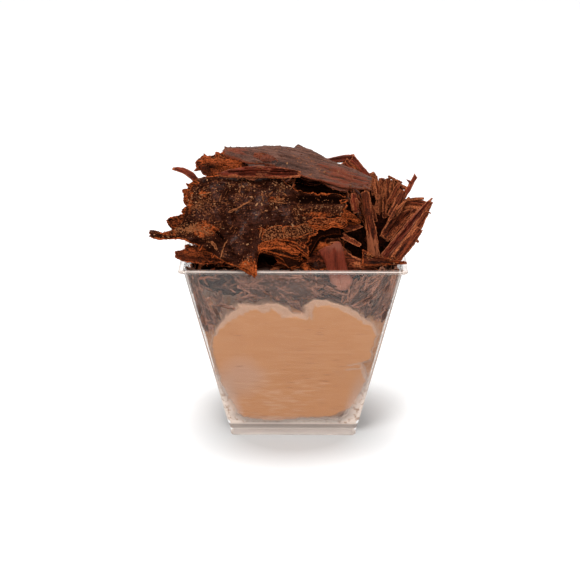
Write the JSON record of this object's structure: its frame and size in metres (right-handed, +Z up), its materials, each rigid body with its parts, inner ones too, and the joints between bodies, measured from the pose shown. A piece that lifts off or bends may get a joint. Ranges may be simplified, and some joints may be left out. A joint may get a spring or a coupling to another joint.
{
  "type": "mousse cup",
  "caption": "Chocolate mousse in a clear tapered square cup with a thin lip and hollow foot, heaped over the rim with thin dark chocolate flakes, planks and shavings.",
  "frame": {"origin": "centre of the cup's base on the table", "axes": "+Z up, -Y is the front, where the large broken slab of chocolate hangs over the rim; +X is to the right seen from the front"},
  "size_m": [0.0872, 0.0744, 0.0934],
  "materials": {
    "clear_plastic": "clear gloss",
    "mousse": "soft satin",
    "chocolate_dark": "satin",
    "chocolate_grey": "satin",
    "chocolate_light": "satin",
    "chocolate_pink": "satin"
  },
  "bodies": {
    "root": {"bridge_bar": "chocolate_pink", "bridge_leg_far": "chocolate_pink", "bridge_leg_near": "chocolate_light", "chip_back_left": "chocolate_light", "chip_back_right": "chocolate_pink", "chip_high": "chocolate_pink", "chip_low_centre": "chocolate_light", "chip_low_left": "chocolate_light", "chip_low_right": "chocolate_light", "chip_middle": "chocolate_light", "cup": "clear_plastic", "curl_upright": "chocolate_grey", "fan": "chocolate_light", "horn": "chocolate_pink", "layer_far": "chocolate_light", "layer_near": "chocolate_light", "ledge": "chocolate_light", "mousse": "mousse", "petal": "chocolate_pink", "plank_a": "chocolate_pink", "plank_b": "chocolate_light", "plank_back_a": "chocolate_light", "plank_back_b": "chocolate_pink", "plank_back_c": "chocolate_light", "plank_c": "chocolate_light", "plank_d": "chocolate_dark", "plank_e": "chocolate_dark", "ridge_left": "chocolate_pink", "shavings_bed": "chocolate_dark", "slab_back": "chocolate_dark", "slab_crown": "chocolate_dark", "slab_front": "chocolate_dark", "slab_left": "chocolate_light", "slab_peak": "chocolate_grey", "slab_side_left": "chocolate_light", "slab_side_right": "chocolate_dark", "slab_top": "chocolate_grey", "stick_a": "chocolate_light", "stick_b": "chocolate_light", "stick_c": "chocolate_light", "stick_d": "chocolate_light", "stick_middle": "chocolate_light", "stick_upright": "chocolate_pink"}
  },
  "joints": []
}
